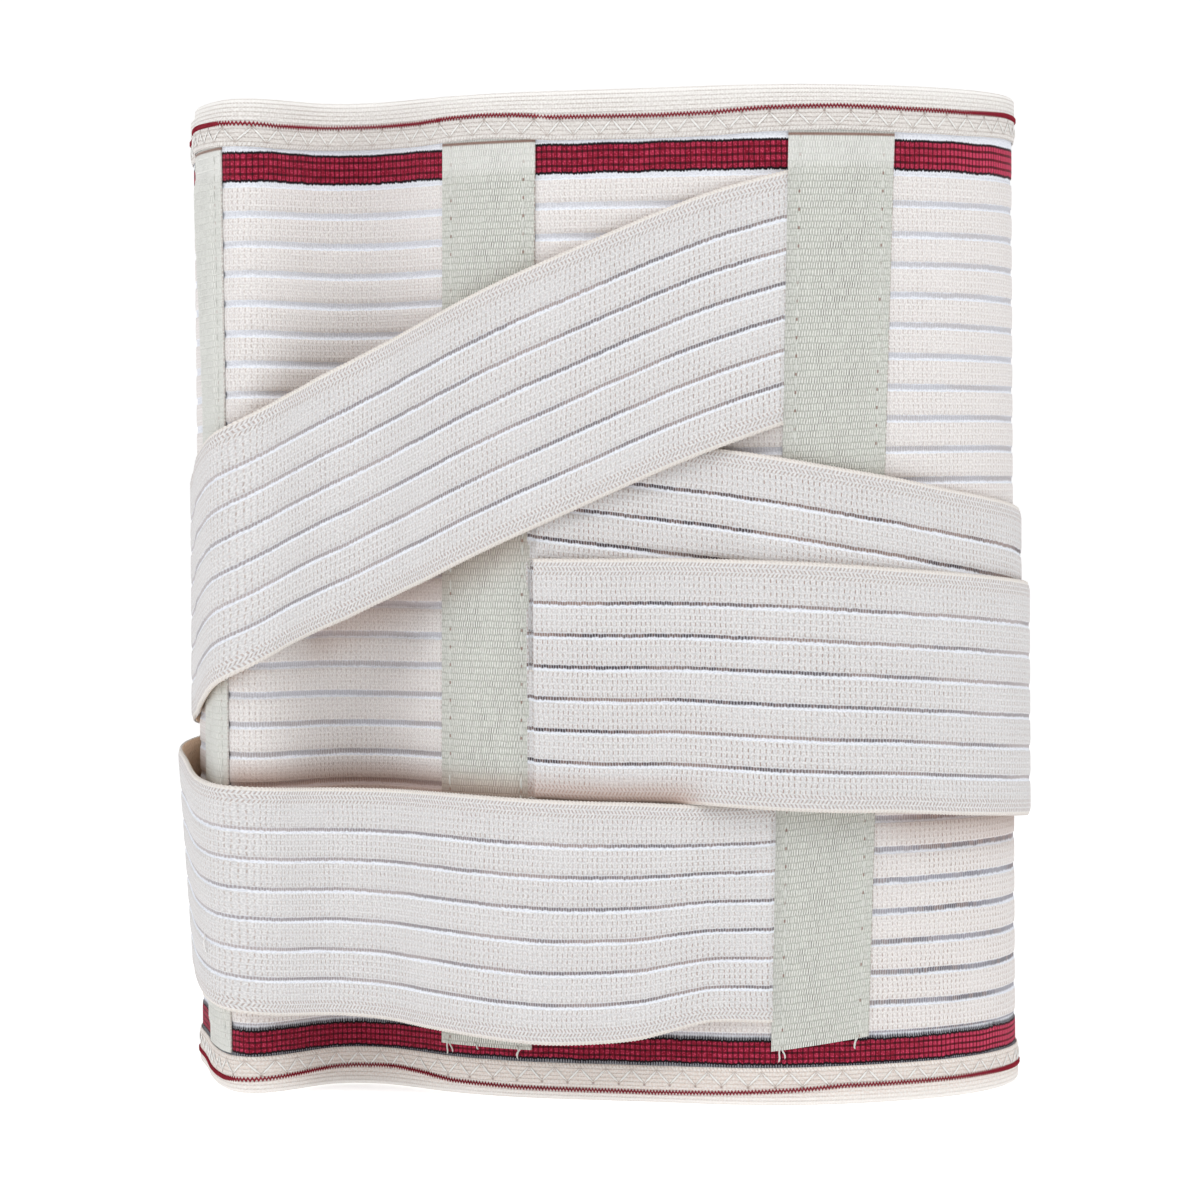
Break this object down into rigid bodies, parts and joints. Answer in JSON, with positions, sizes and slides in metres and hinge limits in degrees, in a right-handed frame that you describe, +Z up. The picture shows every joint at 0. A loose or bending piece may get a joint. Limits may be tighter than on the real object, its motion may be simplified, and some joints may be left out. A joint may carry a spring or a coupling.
{
  "type": "lumbosacral brace",
  "caption": "Wide ribbed elastic back brace closed into a standing loop, with bound edges, upright casing tapes and ribbed straps that cross at the back and fasten round the sides.",
  "frame": {"origin": "under the middle of the brace's box, on the surface it stands on", "axes": "+Z up along the wearer's spine, -Y the way the back panel faces, +X to the wearer's right"},
  "size_m": [0.249, 0.1374, 0.28],
  "materials": {
    "elastic": "matte ribbed cream elastic",
    "binding_tape": "matte cream folded elastic tape",
    "casing_tape": "matte pale grey woven tape",
    "hook_tape": "matte pale hook and loop tape"
  },
  "bodies": {
    "root": {"panel": "elastic", "top_binding": "binding_tape", "bottom_binding": "binding_tape", "casing_left": "casing_tape", "casing_middle": "casing_tape", "casing_right": "casing_tape", "strap_upper_left": "elastic", "strap_upper_right": "elastic", "strap_lower_right": "elastic", "strap_lower_left": "elastic", "tab_left": "hook_tape", "tab_right": "hook_tape", "closure_patch": "hook_tape"}
  },
  "joints": []
}
